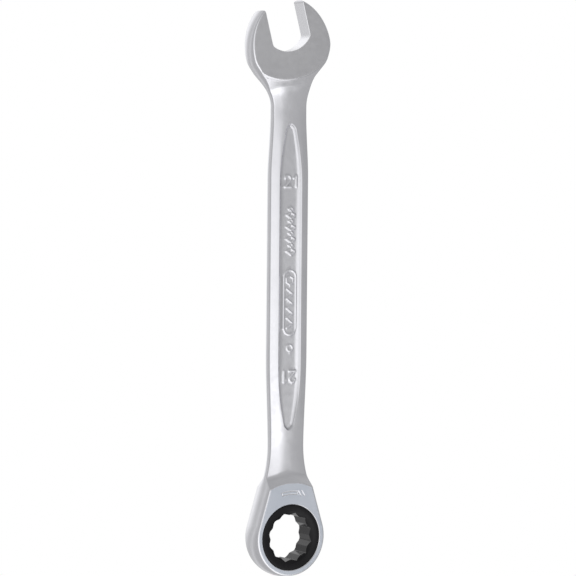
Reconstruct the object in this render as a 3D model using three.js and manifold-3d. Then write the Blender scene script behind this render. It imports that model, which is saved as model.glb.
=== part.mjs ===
// One-way ratcheting combination wrench for 21 mm nuts: an open jaw at one end of a forged
// handle and a ratchet ring with a twelve-point socket at the other.
//
// Millimetres. Everything is drawn about the ring's axis (x = y = 0) on the wrench's mid-plane
// (z = 0), with the handle running along +Y to the open jaw. The finished group is then set
// down so that the origin is the bottom centre of the whole wrench, +Z up through its thickness.

import * as THREE from 'three';
import { mergeVertices } from 'three/addons/utils/BufferGeometryUtils.js';
import Module from 'manifold-3d';

const wasm = await Module();
wasm.setup();

// ---------------------------------------------------------------- driving dimensions

const NUT = 21;                     // across-flats size that both ends fit
const DEG = Math.PI / 180;

// Ring head: a round end whose straight flanks run in to the neck, with a raised pad on
// each face that a conical ramp leads up to.
const HEAD_RADIUS = 19.65;
const HEAD_HALF = 6.3;              // half the head's thickness
const HEAD_BEVEL = 1.1;
const FLANK_ANGLE = 17 * DEG;       // each flank to the handle's axis
const FLANK_FILLET = 55;            // plan radius between each flank and the neck
const PAD_RADIUS = 26.8;            // edge of the raised pad, about the ring's axis
const RAMP_FOOT = { radius: 30.7, half: 3.05 };
const RAMP_TOE = { radius: 41, half: 1.4 };

// Handle: thin side edges, faces sloping up to a flat or panelled middle.
const EDGE_HALF = 1.8;              // half the height of the side edges
const CROWN_HALF = 3.05;            // half the thickness along the middle
const FACE_SLOPE = Math.tan(17 * DEG);
const NECK_WIDTH = 9.45;            // half-width of both necks
const BELLY_WIDTH = 1.3;            // what the handle's middle adds to that on each side
const BELLY = { start: 44, end: 204, ringRise: 45, jawRise: 30 };
const HANDLE_START_Y = 24;
const NECK_END_Y = 209.6;           // where the neck starts to flare out to the jaw
const FLARE_END_Y = 232;            // hidden under the jaw
const LEFT_FLARE = { radius: 15.8, reach: 12.1 };  // plan radius, and how far along Y it is
const RIGHT_FLARE = { radius: 28, reach: 20.7 };   // followed before it runs into the jaw
const JAW_NECK = { start: 211, end: 229, edgeHalf: 3.6, crownHalf: 3.9 };   // thickens to the jaw

// Lens-shaped recess in each face of the handle.
const PANEL = { start: 51.8, end: 200.2, half: 6.2, taper: 30, tip: 2.2 };
const PANEL_DEPTH = 1.3;
const PANEL_WALL = 2.6;             // width of the sloping wall round the recess

// Open jaw, drawn in its own axes: across the jaw and along it, from a centre on the handle.
const JAW_CENTRE = new THREE.Vector2(0.35, 235);
const JAW_TURN = 15 * DEG;          // the jaw's axis leans towards -X
const JAW_HALF = 4.4;               // half the jaw's thickness
const JAW_GAP = NUT + 0.3;
const JAW_OUTLINE = { across: 22.4, shift: -0.47, centre: 1.34, ahead: 25.1, behind: 16 };
const JAW_BEVEL = 1.0;
const JAW_FOOT = { radius: 36, along: -13.1 };     // arc that ends the jaw's raised face
const THROAT = { along: 0.25, radius: 14.5, corner: 3 };

// Ratchet in the ring head, from the front face down.
const BORE_LIP_RADIUS = 16.05;      // lip that holds the gear in from the front
const BORE_LIP_BOTTOM = 4.4;
const BORE_RADIUS = 16.8;
const TOOTH_COUNT = 72;
const TOOTH_TIP = 16.55;
const TOOTH_ROOT = 15.75;
const TEETH = { low: -3.65, high: 4.2 };
const FRONT_COLLAR = { radius: 15.9, top: 6.1 };
const BACK_COLLAR = { radius: 15.3, bottom: -6.1 };
const SOCKET_TURN = 2.3 * DEG;      // the socket's corners against the teeth
const SOCKET_LEAD = 1.1;            // depth of the lead-in cone at each face
const GROOVE = { radius: 17.6, low: -4.75, high: -3.75 };
const CLIP = { inner: 15.55, outer: 17.45, low: -4.65, high: -3.85, opening: 24 * DEG };

// Pawl, its plunger and spring, in a pocket between the ring and the neck.
const POCKET = { half: 7.2, end: 24.2, low: -3.3, high: 3.9 };
const PAWL = { half: 6.9, back: 21.4, low: -3.1, high: 3.7, teeth: 8, clearance: 0.2 };
const SPRING_AXIS_Z = 0.3;
const SPRING_HOLE = { radius: 1.75, end: 29.4 };
const PLUNGER = { nose: 21.6, head: 24.0, radius: 1.55, stem: 0.85, tail: 26.2 };
const SPRING = { radius: 1.22, wire: 0.4, turns: 6, start: 24.25, end: 29.1 };

const ROUND = 96;                   // sides of the large round shapes

// ---------------------------------------------------------------- shapes and solids

// A closed geometry as a solid, whichever way round its faces were wound.
function solid(geometry) {
  const bare = geometry.clone();
  bare.deleteAttribute('normal');
  bare.deleteAttribute('uv');
  const merged = mergeVertices(bare, 1e-4);
  const triangles = [];
  for (let i = 0; i < merged.index.count; i += 3) {
    const corners = [0, 1, 2].map((k) => merged.index.getX(i + k));
    if (new Set(corners).size === 3) triangles.push(corners);
  }
  const build = (order) => new wasm.Manifold(new wasm.Mesh({
    numProp: 3,
    vertProperties: new Float32Array(merged.attributes.position.array),
    triVerts: new Uint32Array(order.flat()),
  }));
  const made = build(triangles);
  return made.volume() > 0 ? made : build(triangles.map(([p, q, r]) => [r, q, p]));
}

function geometryOf(manifold) {
  const mesh = manifold.getMesh();
  const geometry = new THREE.BufferGeometry();
  geometry.setAttribute('position', new THREE.BufferAttribute(mesh.vertProperties, 3));
  geometry.setIndex(new THREE.BufferAttribute(mesh.triVerts, 1));
  return geometry;
}

// A flat outline given thickness from low to high, its edges bevelled if a bevel is given.
function plate(points, low, high, bevel = 0) {
  const geometry = new THREE.ExtrudeGeometry(new THREE.Shape(points), {
    depth: high - low - 2 * bevel,
    bevelEnabled: bevel > 0,
    bevelThickness: bevel,
    bevelSize: bevel,
    bevelOffset: -bevel,
    bevelSegments: 1,
    steps: 1,
  });
  geometry.translate(0, 0, low + bevel);
  return solid(geometry);
}

// A profile of [radius, z] points, from axis to axis, turned about the ring's axis.
function turned(profile, sides = ROUND) {
  const points = profile.map(([radius, z]) => new THREE.Vector2(radius, z));
  const geometry = new THREE.LatheGeometry(points, sides);
  geometry.rotateX(Math.PI / 2);    // the lathe turns about Y, the ring about Z
  return solid(geometry);
}

// A solid through a row of closed cross-sections, all with the same number of points.
function lofted(sections) {
  const size = sections[0].length;
  const positions = sections.flat().flatMap((p) => [p.x, p.y, p.z]);
  const index = [];
  for (let row = 0; row + 1 < sections.length; row++) {
    for (let k = 0; k < size; k++) {
      const a = row * size + k;
      const b = row * size + ((k + 1) % size);
      index.push(a, b, a + size, b, b + size, a + size);
    }
  }
  const last = (sections.length - 1) * size;
  for (let k = 1; k + 1 < size; k++) {
    index.push(0, k + 1, k);
    index.push(last, last + k, last + k + 1);
  }
  const geometry = new THREE.BufferGeometry();
  geometry.setAttribute('position', new THREE.Float32BufferAttribute(positions, 3));
  geometry.setIndex(index);
  return solid(geometry);
}

// A round bar along Y from one y to another, at the spring's height.
function barAlongY(radius, from, to, sides = 24) {
  const geometry = new THREE.CylinderGeometry(radius, radius, to - from, sides);
  geometry.translate(0, (from + to) / 2, SPRING_AXIS_Z);
  return solid(geometry);
}

function arc(centreX, centreY, radius, from, to, steps) {
  const points = [];
  for (let i = 0; i <= steps; i++) {
    const angle = from + (to - from) * i / steps;
    points.push(new THREE.Vector2(centreX + radius * Math.cos(angle),
                                  centreY + radius * Math.sin(angle)));
  }
  return points;
}

const smooth = (t) => {
  const u = Math.min(Math.max(t, 0), 1);
  return u * u * (3 - 2 * u);
};

// ---------------------------------------------------------------- the forged wrench

// The round end, a flank that touches it on each side, and a fillet from each to the neck.
function ringHead() {
  const filletX = NECK_WIDTH + FLANK_FILLET;
  const filletY = (HEAD_RADIUS + FLANK_FILLET - filletX * Math.cos(FLANK_ANGLE))
    / Math.sin(FLANK_ANGLE);
  const outline = [
    ...arc(0, 0, HEAD_RADIUS, Math.PI - FLANK_ANGLE, 2 * Math.PI + FLANK_ANGLE, 72),
    ...arc(filletX, filletY, FLANK_FILLET, Math.PI + FLANK_ANGLE, Math.PI, 6),
    ...arc(-filletX, filletY, FLANK_FILLET, 0, -FLANK_ANGLE, 6),
  ];
  const ramps = turned([
    [0, -HEAD_HALF], [PAD_RADIUS, -HEAD_HALF],
    [RAMP_FOOT.radius, -RAMP_FOOT.half], [RAMP_TOE.radius, -RAMP_TOE.half],
    [RAMP_TOE.radius, RAMP_TOE.half], [RAMP_FOOT.radius, RAMP_FOOT.half],
    [PAD_RADIUS, HEAD_HALF], [0, HEAD_HALF],
  ]);
  return plate(outline, -HEAD_HALF, HEAD_HALF, HEAD_BEVEL).intersect(ramps);
}

function bellyWidth(y) {
  const risen = Math.min((y - BELLY.start) / BELLY.ringRise, (BELLY.end - y) / BELLY.jawRise);
  return NECK_WIDTH + BELLY_WIDTH * smooth(risen);
}

// Beyond the neck each side follows a circle of its own radius out to the jaw.
function sideWidth(y, { radius, reach }) {
  const along = Math.min(Math.max(y - NECK_END_Y, 0), reach);
  return bellyWidth(y) + radius - Math.sqrt(radius ** 2 - along ** 2);
}

function handleSection(y) {
  const left = -sideWidth(y, LEFT_FLARE);
  const right = sideWidth(y, RIGHT_FLARE);
  const thickened = smooth((y - JAW_NECK.start) / (JAW_NECK.end - JAW_NECK.start));
  const edge = EDGE_HALF + (JAW_NECK.edgeHalf - EDGE_HALF) * thickened;
  const crown = CROWN_HALF + (JAW_NECK.crownHalf - CROWN_HALF) * thickened;
  const inset = (crown - edge) / FACE_SLOPE;
  return [
    [left, -edge], [left + inset, -crown], [right - inset, -crown], [right, -edge],
    [right, edge], [right - inset, crown], [left + inset, crown], [left, edge],
  ].map(([x, z]) => new THREE.Vector3(x, y, z));
}

function handle() {
  const sections = [];
  for (let y = HANDLE_START_Y; y < NECK_END_Y; y += 6) sections.push(handleSection(y));
  const flareSteps = 12;
  for (let i = 0; i <= flareSteps; i++) {
    sections.push(handleSection(NECK_END_Y + (FLARE_END_Y - NECK_END_Y) * i / flareSteps));
  }
  return lofted(sections);
}

// Half-width of the recess at y, with blunt tips.
function panelWidth(y) {
  const inFromTip = Math.min(y - PANEL.start, PANEL.end - y);
  const taper = Math.sin(Math.min(inFromTip / PANEL.taper, 1) * Math.PI / 2);
  const tip = Math.sqrt(Math.min(inFromTip / PANEL.tip, 1));
  return tip * (PANEL.tip + (PANEL.half - PANEL.tip) * taper);
}

function panelCutter() {
  const steps = 28;
  const right = [];
  for (let i = 1; i < steps; i++) {
    const along = (1 - Math.cos(Math.PI * i / steps)) / 2;
    const y = PANEL.start + (PANEL.end - PANEL.start) * along;
    right.push(new THREE.Vector2(panelWidth(y), y));
  }
  const left = right.map((p) => new THREE.Vector2(-p.x, p.y)).reverse();
  const floor = CROWN_HALF - PANEL_DEPTH;
  const sections = [[floor, 1], [CROWN_HALF, 0], [CROWN_HALF + 1, 0]].map(([z, inward]) => {
    const wall = PANEL_WALL * inward;
    const scaleX = (PANEL.half - wall) / PANEL.half;
    const scaleY = (PANEL.end - PANEL.start - 2 * wall) / (PANEL.end - PANEL.start);
    const middle = (PANEL.start + PANEL.end) / 2;
    return [new THREE.Vector2(0, PANEL.start), ...right, new THREE.Vector2(0, PANEL.end), ...left]
      .map((p) => new THREE.Vector3(p.x * scaleX, middle + (p.y - middle) * scaleY, z));
  });
  return lofted(sections);
}

// Jaw axes to the wrench's: across is the jaw's +X turned, along is its own axis.
function fromJaw(across, along) {
  return new THREE.Vector2(across, along).rotateAround(new THREE.Vector2(), JAW_TURN)
    .add(JAW_CENTRE);
}

function jaw() {
  const outline = [];
  const steps = 96;
  for (let i = 0; i < steps; i++) {
    const angle = 2 * Math.PI * i / steps;
    const along = Math.sin(angle) > 0 ? JAW_OUTLINE.ahead : JAW_OUTLINE.behind;
    outline.push(fromJaw(JAW_OUTLINE.shift + JAW_OUTLINE.across * Math.cos(angle),
                         JAW_OUTLINE.centre + along * Math.sin(angle)));
  }
  const whole = plate(outline, -JAW_HALF, JAW_HALF, JAW_BEVEL);
  const foot = arc(0, JAW_FOOT.along + JAW_FOOT.radius, JAW_FOOT.radius,
                   -150 * DEG, -30 * DEG, 24);
  foot.push(new THREE.Vector2(40, 40), new THREE.Vector2(-40, 40));
  const keep = plate(foot.map((p) => fromJaw(p.x, p.y)), -JAW_HALF - 1, JAW_HALF + 1);
  return whole.intersect(keep);
}

// The mouth of the jaw: two parallel flats joined by a rounded throat.
function mouth() {
  const half = JAW_GAP / 2;
  const cornerX = half - THROAT.corner;
  const centreAlong = THROAT.along + THROAT.radius;
  const reach = THROAT.radius - THROAT.corner;
  const cornerAlong = centreAlong - Math.sqrt(reach ** 2 - cornerX ** 2);
  const meet = Math.atan2(cornerAlong - centreAlong, cornerX);
  const right = [
    ...arc(0, centreAlong, THROAT.radius, -Math.PI / 2, meet, 8),
    ...arc(cornerX, cornerAlong, THROAT.corner, meet, 0, 6).slice(1),
    new THREE.Vector2(half, 40),
  ];
  const left = right.slice(1).map((p) => new THREE.Vector2(-p.x, p.y)).reverse();
  return plate([...right, ...left].map((p) => fromJaw(p.x, p.y)), -JAW_HALF - 2, JAW_HALF + 2);
}

function bore() {
  return turned([
    [0, -HEAD_HALF - 1], [BORE_RADIUS, -HEAD_HALF - 1],
    [BORE_RADIUS, GROOVE.low], [GROOVE.radius, GROOVE.low],
    [GROOVE.radius, GROOVE.high], [BORE_RADIUS, GROOVE.high],
    [BORE_RADIUS, BORE_LIP_BOTTOM], [BORE_LIP_RADIUS, BORE_LIP_BOTTOM],
    [BORE_LIP_RADIUS, HEAD_HALF + 1], [0, HEAD_HALF + 1],
  ]);
}

function pawlPocket() {
  const corner = 1.5;
  const { half, end, low, high } = POCKET;
  const outline = [
    new THREE.Vector2(-half, 8), new THREE.Vector2(half, 8),
    ...arc(half - corner, end - corner, corner, 0, Math.PI / 2, 4),
    ...arc(-half + corner, end - corner, corner, Math.PI / 2, Math.PI, 4),
  ];
  return plate(outline, low, high).add(barAlongY(SPRING_HOLE.radius, end - 1, SPRING_HOLE.end));
}

function wrenchBody() {
  const panel = panelCutter();
  return ringHead().add(handle()).add(jaw())
    .subtract(panel).subtract(panel.rotate([0, 180, 0]))
    .subtract(mouth()).subtract(bore()).subtract(pawlPocket());
}

// ---------------------------------------------------------------- the ratchet

// A ring of straight-sided teeth, tips on one radius and roots on the other.
function toothedOutline() {
  const points = [];
  for (let i = 0; i < TOOTH_COUNT * 2; i++) {
    const radius = i % 2 === 0 ? TOOTH_TIP : TOOTH_ROOT;
    const angle = Math.PI * i / TOOTH_COUNT;
    points.push(new THREE.Vector2(radius * Math.cos(angle), radius * Math.sin(angle)));
  }
  return points;
}

// Two hexagons turned 30 degrees make the twelve-point socket.
const SOCKET_CORNER = NUT / 2 / Math.cos(30 * DEG);
const SOCKET_VALLEY = NUT / 2 / Math.cos(15 * DEG);

function socketOutline() {
  const points = [];
  for (let i = 0; i < 24; i++) {
    const radius = i % 2 === 0 ? SOCKET_CORNER : SOCKET_VALLEY;
    const angle = 15 * DEG * (i + 1) + SOCKET_TURN;
    points.push(new THREE.Vector2(radius * Math.cos(angle), radius * Math.sin(angle)));
  }
  return points;
}

function ratchetGear() {
  const top = FRONT_COLLAR.top;
  const bottom = BACK_COLLAR.bottom;
  const blank = turned([
    [0, bottom], [BACK_COLLAR.radius - 0.3, bottom], [BACK_COLLAR.radius, bottom + 0.3],
    [BACK_COLLAR.radius, TEETH.low + 0.5], [TOOTH_ROOT - 0.1, TEETH.low + 0.5],
    [TOOTH_ROOT - 0.1, TEETH.high - 0.5], [FRONT_COLLAR.radius, TEETH.high - 0.5],
    [FRONT_COLLAR.radius, top - 0.3], [FRONT_COLLAR.radius - 0.3, top], [0, top],
  ]);
  const reach = SOCKET_CORNER + 0.5;
  const leadIns = turned([
    [0, bottom - 1], [reach + 1, bottom - 1], [reach, bottom],
    [reach - SOCKET_LEAD, bottom + SOCKET_LEAD], [0, bottom + SOCKET_LEAD],
  ]).add(turned([
    [0, top - SOCKET_LEAD], [reach - SOCKET_LEAD, top - SOCKET_LEAD],
    [reach, top], [reach + 1, top + 1], [0, top + 1],
  ]));
  return blank.add(plate(toothedOutline(), TEETH.low, TEETH.high))
    .subtract(plate(socketOutline(), bottom - 1, top + 1)).subtract(leadIns);
}

function pawl() {
  const pitch = 360 * DEG / TOOTH_COUNT;
  const points = [];
  for (let i = -PAWL.teeth; i <= PAWL.teeth; i++) {
    const radius = (i % 2 === 0 ? TOOTH_TIP : TOOTH_ROOT) + PAWL.clearance;
    const angle = 90 * DEG + pitch * i / 2;
    points.push(new THREE.Vector2(radius * Math.cos(angle), radius * Math.sin(angle)));
  }
  const shoulder = 1;
  const wing = Math.sqrt((BORE_RADIUS + 0.1) ** 2 - PAWL.half ** 2);
  points.push(new THREE.Vector2(-PAWL.half, wing));
  points.push(new THREE.Vector2(-PAWL.half, PAWL.back - shoulder));
  points.push(new THREE.Vector2(-PAWL.half + shoulder, PAWL.back));
  points.push(new THREE.Vector2(PAWL.half - shoulder, PAWL.back));
  points.push(new THREE.Vector2(PAWL.half, PAWL.back - shoulder));
  points.push(new THREE.Vector2(PAWL.half, wing));
  return plate(points, PAWL.low, PAWL.high);
}

// A headed pin: its domed nose bears on the pawl and its stem keeps the spring straight.
function pawlPlunger() {
  const { nose, head, radius, stem, tail } = PLUNGER;
  const profile = [
    new THREE.Vector2(0, nose), new THREE.Vector2(radius * 0.6, nose + 0.25),
    new THREE.Vector2(radius, nose + 1), new THREE.Vector2(radius, head),
    new THREE.Vector2(stem, head), new THREE.Vector2(stem, tail - 0.3),
    new THREE.Vector2(stem - 0.3, tail), new THREE.Vector2(0, tail),
  ];
  const geometry = new THREE.LatheGeometry(profile, 24);
  geometry.translate(0, 0, SPRING_AXIS_Z);
  return solid(geometry);
}

class CoilCurve extends THREE.Curve {
  getPoint(t, target = new THREE.Vector3()) {
    const angle = 2 * Math.PI * SPRING.turns * t;
    const low = SPRING.start + SPRING.wire / 2;
    const high = SPRING.end - SPRING.wire / 2;
    return target.set(SPRING.radius * Math.cos(angle), low + (high - low) * t,
                      SPRING_AXIS_Z + SPRING.radius * Math.sin(angle));
  }
}

function pawlSpring() {
  const wire = arc(0, 0, SPRING.wire / 2, 0, 2 * Math.PI, 6).slice(0, -1);
  return new THREE.ExtrudeGeometry(new THREE.Shape(wire), {
    extrudePath: new CoilCurve(),
    steps: 12 * SPRING.turns,
    bevelEnabled: false,
  });
}

// Flat ring with an opening opposite the pawl, sprung into the groove behind the gear.
function retainingClip() {
  const mid = -90 * DEG;
  const from = mid + CLIP.opening / 2;
  const to = mid + 2 * Math.PI - CLIP.opening / 2;
  const outline = [
    ...arc(0, 0, CLIP.outer, from, to, 80),
    ...arc(0, 0, CLIP.inner, to, from, 80),
  ];
  return plate(outline, CLIP.low, CLIP.high);
}

// ---------------------------------------------------------------- the assembly

const SATIN_CHROME = { color: 0xc4c5c9, metalness: 1, roughness: 0.32 };
const BLACK_OXIDE = { color: 0x232226, metalness: 0.8, roughness: 0.45 };
const HARD_STEEL = { color: 0x8d8e92, metalness: 1, roughness: 0.35 };
const SPRING_STEEL = { color: 0x6f7076, metalness: 1, roughness: 0.3 };

const wrench = new THREE.Group();

function addPart(name, geometry, finish) {
  const mesh = new THREE.Mesh(geometry, new THREE.MeshStandardMaterial(finish));
  mesh.name = name;
  wrench.add(mesh);
}

addPart('wrench_body', geometryOf(wrenchBody()), SATIN_CHROME);
addPart('ratchet_gear', geometryOf(ratchetGear()), BLACK_OXIDE);
addPart('pawl', geometryOf(pawl()), HARD_STEEL);
addPart('pawl_plunger', geometryOf(pawlPlunger()), HARD_STEEL);
addPart('pawl_spring', pawlSpring(), SPRING_STEEL);
addPart('retaining_clip', geometryOf(retainingClip()), SPRING_STEEL);

const extent = new THREE.Box3().setFromObject(wrench);
const middle = extent.getCenter(new THREE.Vector3());
wrench.position.set(-middle.x, -middle.y, -extent.min.z);

export default wrench;
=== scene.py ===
"""A ratcheting combination wrench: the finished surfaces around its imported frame.

Shapes are drawn in millimetres about the ring's axis, on the wrench's mid-plane, with the handle
along +Y to the open jaw. Objects are in metres in the frame's own axes.
"""

import math

import bmesh
import bpy
import numpy as np
from mathutils import Matrix, Vector
from mathutils.geometry import delaunay_2d_cdt
from mathutils.kdtree import KDTree


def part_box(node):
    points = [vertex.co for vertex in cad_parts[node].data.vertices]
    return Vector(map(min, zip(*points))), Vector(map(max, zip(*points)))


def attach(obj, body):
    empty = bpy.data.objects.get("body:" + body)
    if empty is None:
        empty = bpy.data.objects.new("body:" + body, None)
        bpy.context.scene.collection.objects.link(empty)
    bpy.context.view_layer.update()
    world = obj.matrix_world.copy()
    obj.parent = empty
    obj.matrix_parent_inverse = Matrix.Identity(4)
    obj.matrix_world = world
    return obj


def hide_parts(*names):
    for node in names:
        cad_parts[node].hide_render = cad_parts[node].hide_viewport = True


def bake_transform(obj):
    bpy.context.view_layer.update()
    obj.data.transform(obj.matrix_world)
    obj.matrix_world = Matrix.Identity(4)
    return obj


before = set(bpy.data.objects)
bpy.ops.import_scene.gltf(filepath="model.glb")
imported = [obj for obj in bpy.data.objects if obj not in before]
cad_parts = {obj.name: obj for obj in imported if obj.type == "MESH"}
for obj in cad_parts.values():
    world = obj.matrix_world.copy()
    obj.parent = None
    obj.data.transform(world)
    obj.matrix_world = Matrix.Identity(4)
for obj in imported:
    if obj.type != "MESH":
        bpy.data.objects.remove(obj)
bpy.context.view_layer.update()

# ---------------------------------------------------------------- driving dimensions

MM = 0.001
gear_low, gear_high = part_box("ratchet_gear")
RING_CENTRE = np.array((gear_low + gear_high) / 2)

NUT = 21.0
TURN = math.radians(17)             # slope of the ring's flanks in plan
HEAD_RADIUS, HEAD_HALF = 19.65, 6.3
FLANK_FILLET = 55.0
PAD_RADIUS, RAMP_SLOPE, RAMP_STEEPER = 26.8, 0.84, 0.3       # steeper at the flanks

EDGE_HALF, CROWN_HALF = 1.8, 3.05
FLANK_RUN = 6.8                     # how far in from the edge the faces go on rising
FACE_SLOPE = math.tan(math.radians(17))
NECK_WIDTH, BELLY_WIDTH = 9.45, 1.3
BELLY_START, BELLY_END = 44.0, 204.0
BELLY_RISES = (45.0, 30.0)           # at the ring's end and at the jaw's
# Each flare is one or two curves: plan radius, start, reach along it and straight beyond it.
LEFT_FLARE = ((12.5, 208.5, 6.0, 8.5),)
RIGHT_FLARE = ((20.0, 208.5, 5.8, 8.0), (28.0, 209.6, 17.5, 3.0))
HANDLE_END = 236.0                  # inside the jaw
THICKEN_START, THICKEN_END = 215.0, 227.0          # where the neck's edge thickens to the jaw
EDGE_THICKER = 2.4
NECK_RAMP_TOP, NECK_RAMP_LEDGE = 3.9, 0.8
NECK_RAMP_SLOPE = 0.42
NECK_SOFTER = 0.3                   # how much gentler the faces slope in the jaw's neck

PANEL_START, PANEL_END = 51.8, 200.2
PANEL_HALF, PANEL_TAPER, PANEL_TIP = 6.2, 30.0, 2.2
PANEL_DEPTH, PANEL_WALL = 1.3, 3.2
PANEL_CURVE = 3.4                   # higher is steeper at the recess's edge

JAW_CENTRE = np.array((0.35, 235.0))
JAW_TURN = math.radians(15)
JAW_HALF, JAW_GAP = 4.4, NUT + 0.3
JAW_ACROSS, JAW_SHIFT, JAW_MIDDLE, JAW_AHEAD, JAW_BEHIND = 22.4, -0.47, 1.34, 25.1, 16.0
JAW_FILLET, RAISED_CORNER = 4.7, 3.0
FOOT_RADIUS, FOOT_ALONG, FOOT_SLOPE = 36.0, -13.1, 1.0
THROAT_ALONG, THROAT_RADIUS, THROAT_CORNER = 0.25, 14.5, 3.0
TIP_ROUND = 1.6                     # plan rounding where the mouth's flats reach the tips

LIP_RADIUS, LIP_BOTTOM, BORE_RADIUS = 16.05, 4.4, 16.8
GROOVE_RADIUS, GROOVE_LOW, GROOVE_HIGH = 17.6, -4.75, -3.75
POCKET_HALF, POCKET_END, POCKET_LOW, POCKET_HIGH = 7.2, 24.2, -3.3, 3.9
SPRING_Z, SPRING_HOLE, SPRING_HOLE_END = 0.3, 1.75, 29.4

EDGE_ROUND, SIDE_CROWN = 0.75, math.radians(18)
EDGE_CRISPER = 0.7                  # how much tighter the edges are along the jaw's neck
JAW_START = 205.0                   # where finishes and mesh change to the jaw's
SPACING = 1.44                      # between the points of the faces' widest grid


# ---------------------------------------------------------------- small helpers

def smoothstep(t):
    u = np.clip(t, 0.0, 1.0)
    return u * u * (3 - 2 * u)


def soft_min(a, b, k):
    """The lower of two heights, with the corner between them rounded over a band k."""
    h = np.maximum(k - np.abs(a - b), 0.0)
    return np.minimum(a, b) - h * h / (4 * k)


def soft_max(a, b, k):
    return -soft_min(-a, -b, k)


def arc(x, y, radius, start, end, steps):
    """Points on a circle between two angles in degrees."""
    t = np.radians(np.linspace(start, end, steps + 1))
    return np.column_stack((x + radius * np.cos(t), y + radius * np.sin(t)))


def line_distance(points, lines):
    """Distance from each point to the nearest of several open lines."""
    best = np.full(len(points), 1e9)
    for line in lines:
        for a, b in zip(line[:-1], line[1:]):
            along = b - a
            t = np.clip(((points - a) @ along) / max(along @ along, 1e-12), 0, 1)
            gap = points - a - t[:, None] * along
            best = np.minimum(best, np.hypot(gap[:, 0], gap[:, 1]))
    return best


def loop_normals(loop):
    """Unit normals pointing into a loop that runs anticlockwise."""
    tangent = np.roll(loop, -1, axis=0) - np.roll(loop, 1, axis=0)
    tangent /= np.linalg.norm(tangent, axis=1)[:, None]
    return np.column_stack((-tangent[:, 1], tangent[:, 0]))


class Outline:
    """A smooth closed outline that runs anticlockwise."""

    def __init__(self, loop):
        self.loop, self.normals = loop, loop_normals(loop)
        self.tree = KDTree(len(loop))
        for i, (x, y) in enumerate(loop):
            self.tree.insert((x, y, 0), i)
        self.tree.balance()

    def inside(self, points):
        """Distance in from the outline, negative outside it."""
        nearest = np.array([self.tree.find((x, y, 0))[1] for x, y in points])
        away = points - self.loop[nearest]
        best = np.full(len(points), 1e9)
        for side in (-1, 1):
            along = self.loop[(nearest + side) % len(self.loop)] - self.loop[nearest]
            t = np.clip((away * along).sum(1) / (along ** 2).sum(1), 0, 1)
            gap = away - t[:, None] * along
            best = np.minimum(best, np.hypot(gap[:, 0], gap[:, 1]))
        return np.where((away * self.normals[nearest]).sum(1) > 0, best, -best)


def resampled(loop, spacing):
    """The same closed outline with points about that far apart."""
    closed = np.vstack((loop, loop[:1]))
    run = np.concatenate(([0], np.cumsum(np.linalg.norm(np.diff(closed, axis=0), axis=1))))
    at = np.linspace(0, run[-1], int(run[-1] / spacing) + 1)[:-1]
    return np.column_stack([np.interp(at, run, closed[:, k]) for k in (0, 1)])


def solid(name, points, faces):
    """A mesh object in this file's millimetres, for cutting and joining."""
    mesh = bpy.data.meshes.new(name)
    mesh.from_pydata(np.asarray(points, float).tolist(), [], [tuple(map(int, f)) for f in faces])
    shell = bmesh.new()
    shell.from_mesh(mesh)
    bmesh.ops.triangulate(shell, faces=[face for face in shell.faces if len(face.verts) > 4])
    if shell.calc_volume(signed=True) < 0:
        bmesh.ops.reverse_faces(shell, faces=shell.faces)
    shell.to_mesh(mesh)
    shell.free()
    made = bpy.data.objects.new(name, mesh)
    bpy.context.scene.collection.objects.link(made)
    return made


def lofted(name, sections):
    """A closed solid through a row of sections with equal numbers of points, anticlockwise
    seen from the last one."""
    size = len(sections[0])
    points = np.vstack(sections)
    faces = []
    for row in range(len(sections) - 1):
        for k in range(size):
            a, b = row * size + k, row * size + (k + 1) % size
            faces.append((a, b, b + size, a + size))
    last = (len(sections) - 1) * size
    faces.append(tuple(range(size - 1, -1, -1)))
    faces.append(tuple(range(last, last + size)))
    return solid(name, points, faces)


def prism(name, outline, rows):
    """An outline lofted through (z, outward offset) rows from low to high."""
    outward = -loop_normals(outline)
    return lofted(name, [np.column_stack((outline + outward * offset, np.full(len(outline), z)))
                         for z, offset in rows])


def turned(name, profile, sides):
    """A disc from (radius, z) points that run anticlockwise and start and end on the axis."""
    t = np.linspace(0, 2 * math.pi, sides, endpoint=False)
    points, rows = [], []
    for radius, z in profile:
        rows.append(len(points))
        if radius == 0:
            points.append((0, 0, z))
        else:
            points.extend(zip(radius * np.cos(t), radius * np.sin(t), np.full(sides, z)))
    faces = []
    for (ra, _), (rb, _), a, b in zip(profile, profile[1:], rows, rows[1:]):
        for k in range(sides):
            n = (k + 1) % sides
            if ra == 0:
                faces.append((b + n, b + k, a))
            elif rb == 0:
                faces.append((a + k, a + n, b))
            else:
                faces.append((a + k, a + n, b + n, b + k))
    return solid(name, points, faces)


def combine(target, other, operation):
    """Cuts other out of target, or joins it to it, and removes other."""
    modifier = target.modifiers.new(operation, "BOOLEAN")
    modifier.operation = operation
    modifier.solver = "MANIFOLD"
    modifier.object = other
    graph = bpy.context.evaluated_depsgraph_get()
    result = bpy.data.meshes.new_from_object(target.evaluated_get(graph))
    target.modifiers.clear()
    if len(result.polygons) == 0:
        raise RuntimeError(f"{target.name}: {operation} with {other.name} left nothing")
    result.materials.clear()
    target.data = result
    bpy.data.objects.remove(other)


def placed(made, name, materials, sharp=30):
    """Puts a shape drawn in millimetres in its place and gives it its finishes."""
    made.name = made.data.name = name
    made.data.transform(Matrix.Translation(Vector(RING_CENTRE)) @ Matrix.Scale(MM, 4))
    for material in materials:
        made.data.materials.append(material)
    mark_sharp(made.data, math.radians(sharp))
    return made


def finished(made, name, body, materials, node):
    """A piece in its place, riding on its body instead of a node of the frame."""
    placed(made, name, materials)
    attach(made, body)
    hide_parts(node)


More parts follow.
